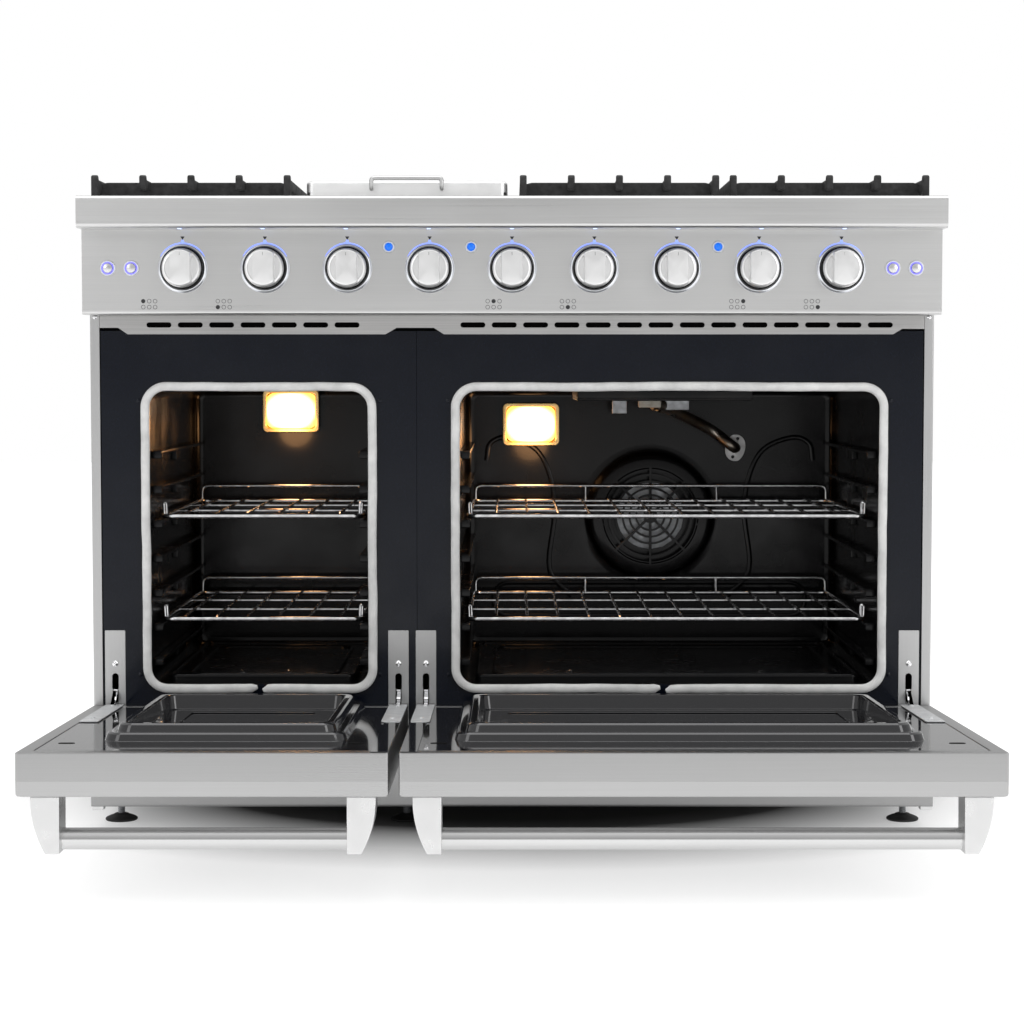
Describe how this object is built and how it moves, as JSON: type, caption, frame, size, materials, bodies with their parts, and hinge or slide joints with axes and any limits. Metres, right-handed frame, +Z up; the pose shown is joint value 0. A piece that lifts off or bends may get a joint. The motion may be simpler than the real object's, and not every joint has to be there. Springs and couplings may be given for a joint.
{
  "type": "freestanding gas range",
  "caption": "Wide stainless gas range with a narrow and a wide oven, both drop-down doors open, chrome racks, control knobs, burner grates and a covered griddle.",
  "frame": {"origin": "on the floor, at the middle of the box that the range fills with both doors open", "axes": "+X to the right as the cook sees it, -Y towards the cook, +Z up"},
  "size_m": [1.216, 1.168, 0.9425],
  "materials": {
    "aluminium": "as cast",
    "cast_iron": "matt black",
    "enamel": "glossy near-black porcelain enamel",
    "galvanised": "dull galvanised sheet",
    "glass": "clear, dark-tinted",
    "lens": "frosted, lit warm",
    "polished": "bright chrome",
    "rope": "woven glass-fibre rope",
    "rubber": "matt black",
    "stainless": "brushed stainless steel"
  },
  "bodies": {
    "range_body": {"broil_burner": "galvanised", "chassis": "galvanised", "control_panel": "stainless", "cooktop_tray": "stainless", "fan_cover": "enamel", "front_left_foot": "rubber", "front_middle_foot": "rubber", "front_right_foot": "rubber", "gas_manifold": "aluminium", "left_burner_pair": "aluminium", "left_oven_cavity": "enamel", "left_oven_floor": "enamel", "left_oven_gasket": "rope", "left_oven_lamp": "lens", "left_side_panel": "stainless", "middle_burner_pair": "aluminium", "rear_left_foot": "rubber", "rear_right_foot": "rubber", "right_burner_pair": "aluminium", "right_oven_cavity": "enamel", "right_oven_floor": "enamel", "right_oven_gasket": "rope", "right_oven_lamp": "lens", "right_side_panel": "stainless", "vent_trim": "stainless"},
    "left_door": {"left_door_shell": "stainless", "left_door_inner_panel": "enamel", "left_door_glass": "glass", "left_door_handle": "stainless", "left_door_left_hinge_arm": "polished", "left_door_right_hinge_arm": "polished"},
    "right_door": {"right_door_shell": "stainless", "right_door_inner_panel": "enamel", "right_door_glass": "glass", "right_door_handle": "stainless", "right_door_left_hinge_arm": "polished", "right_door_right_hinge_arm": "polished"},
    "left_upper_rack": {"left_upper_rack": "polished"},
    "left_lower_rack": {"left_lower_rack": "polished"},
    "right_upper_rack": {"right_upper_rack": "polished"},
    "right_lower_rack": {"right_lower_rack": "polished"},
    "rear_left_burner_knob": {"rear_left_burner_knob": "polished"},
    "front_left_burner_knob": {"front_left_burner_knob": "polished"},
    "left_oven_knob": {"left_oven_knob": "polished"},
    "griddle_knob": {"griddle_knob": "polished"},
    "rear_middle_burner_knob": {"rear_middle_burner_knob": "polished"},
    "front_middle_burner_knob": {"front_middle_burner_knob": "polished"},
    "right_oven_knob": {"right_oven_knob": "polished"},
    "rear_right_burner_knob": {"rear_right_burner_knob": "polished"},
    "front_right_burner_knob": {"front_right_burner_knob": "polished"},
    "left_oven_light_button": {"left_oven_light_button": "polished"},
    "panel_light_button": {"panel_light_button": "polished"},
    "right_oven_light_button": {"right_oven_light_button": "polished"},
    "convection_fan_button": {"convection_fan_button": "polished"},
    "convection_fan": {"convection_fan": "galvanised"},
    "left_grate": {"left_grate": "cast_iron"},
    "middle_grate": {"middle_grate": "cast_iron"},
    "right_grate": {"right_grate": "cast_iron"},
    "griddle_plate": {"griddle_plate": "cast_iron"},
    "griddle_cover": {"griddle_cover": "stainless"}
  },
  "joints": [
    {"name": "left_door_hinge", "type": "hinge", "parent": "range_body", "child": "left_door", "pos_m": [-0.3795, -0.03102, 0.19], "axis": [1, 0, 0], "range_deg": [-88, 0]},
    {"name": "right_door_hinge", "type": "hinge", "parent": "range_body", "child": "right_door", "pos_m": [0.23475, -0.03102, 0.19], "axis": [1, 0, 0], "range_deg": [-88, 0]},
    {"name": "left_upper_rack_slide", "type": "slide", "parent": "range_body", "child": "left_upper_rack", "axis": [0, -1, 0], "range_m": [0, 0.3]},
    {"name": "left_lower_rack_slide", "type": "slide", "parent": "range_body", "child": "left_lower_rack", "axis": [0, -1, 0], "range_m": [0, 0.3]},
    {"name": "right_upper_rack_slide", "type": "slide", "parent": "range_body", "child": "right_upper_rack", "axis": [0, -1, 0], "range_m": [0, 0.3]},
    {"name": "right_lower_rack_slide", "type": "slide", "parent": "range_body", "child": "right_lower_rack", "axis": [0, -1, 0], "range_m": [0, 0.3]},
    {"name": "rear_left_burner_knob_turn", "type": "hinge", "parent": "range_body", "child": "rear_left_burner_knob", "pos_m": [-0.4652, -0.09002, 0.809], "axis": [0, -1, 0], "range_deg": [0, 210]},
    {"name": "front_left_burner_knob_turn", "type": "hinge", "parent": "range_body", "child": "front_left_burner_knob", "pos_m": [-0.3489, -0.09002, 0.809], "axis": [0, -1, 0], "range_deg": [0, 210]},
    {"name": "left_oven_knob_turn", "type": "hinge", "parent": "range_body", "child": "left_oven_knob", "pos_m": [-0.2326, -0.09002, 0.809], "axis": [0, -1, 0], "range_deg": [0, 270]},
    {"name": "griddle_knob_turn", "type": "hinge", "parent": "range_body", "child": "griddle_knob", "pos_m": [-0.1163, -0.09002, 0.809], "axis": [0, -1, 0], "range_deg": [0, 270]},
    {"name": "rear_middle_burner_knob_turn", "type": "hinge", "parent": "range_body", "child": "rear_middle_burner_knob", "pos_m": [0, -0.09002, 0.809], "axis": [0, -1, 0], "range_deg": [0, 210]},
    {"name": "front_middle_burner_knob_turn", "type": "hinge", "parent": "range_body", "child": "front_middle_burner_knob", "pos_m": [0.1163, -0.09002, 0.809], "axis": [0, -1, 0], "range_deg": [0, 210]},
    {"name": "right_oven_knob_turn", "type": "hinge", "parent": "range_body", "child": "right_oven_knob", "pos_m": [0.2326, -0.09002, 0.809], "axis": [0, -1, 0], "range_deg": [0, 270]},
    {"name": "rear_right_burner_knob_turn", "type": "hinge", "parent": "range_body", "child": "rear_right_burner_knob", "pos_m": [0.3489, -0.09002, 0.809], "axis": [0, -1, 0], "range_deg": [0, 210]},
    {"name": "front_right_burner_knob_turn", "type": "hinge", "parent": "range_body", "child": "front_right_burner_knob", "pos_m": [0.4652, -0.09002, 0.809], "axis": [0, -1, 0], "range_deg": [0, 210]},
    {"name": "left_oven_light_button_press", "type": "slide", "parent": "range_body", "child": "left_oven_light_button", "axis": [0, 1, 0], "range_m": [0, 0.002], "stiffness_N_per_m": 300, "springref_m": -0.001},
    {"name": "panel_light_button_press", "type": "slide", "parent": "range_body", "child": "panel_light_button", "axis": [0, 1, 0], "range_m": [0, 0.002], "stiffness_N_per_m": 300, "springref_m": -0.001},
    {"name": "right_oven_light_button_press", "type": "slide", "parent": "range_body", "child": "right_oven_light_button", "axis": [0, 1, 0], "range_m": [0, 0.002], "stiffness_N_per_m": 300, "springref_m": -0.001},
    {"name": "convection_fan_button_press", "type": "slide", "parent": "range_body", "child": "convection_fan_button", "axis": [0, 1, 0], "range_m": [0, 0.002], "stiffness_N_per_m": 300, "springref_m": -0.001},
    {"name": "convection_fan_spin", "type": "hinge", "parent": "range_body", "child": "convection_fan", "pos_m": [0.227, 0.447, 0.427], "axis": [0, -1, 0], "continuous": true},
    {"name": "left_grate_lift", "type": "slide", "parent": "range_body", "child": "left_grate", "axis": [0, 0, 1], "range_m": [0, 0.12]},
    {"name": "middle_grate_lift", "type": "slide", "parent": "range_body", "child": "middle_grate", "axis": [0, 0, 1], "range_m": [0, 0.12]},
    {"name": "right_grate_lift", "type": "slide", "parent": "range_body", "child": "right_grate", "axis": [0, 0, 1], "range_m": [0, 0.12]},
    {"name": "griddle_plate_lift", "type": "slide", "parent": "range_body", "child": "griddle_plate", "axis": [0, 0, 1], "range_m": [0, 0.12]},
    {"name": "griddle_cover_lift", "type": "slide", "parent": "griddle_plate", "child": "griddle_cover", "axis": [0, 0, 1], "range_m": [0, 0.12]}
  ]
}
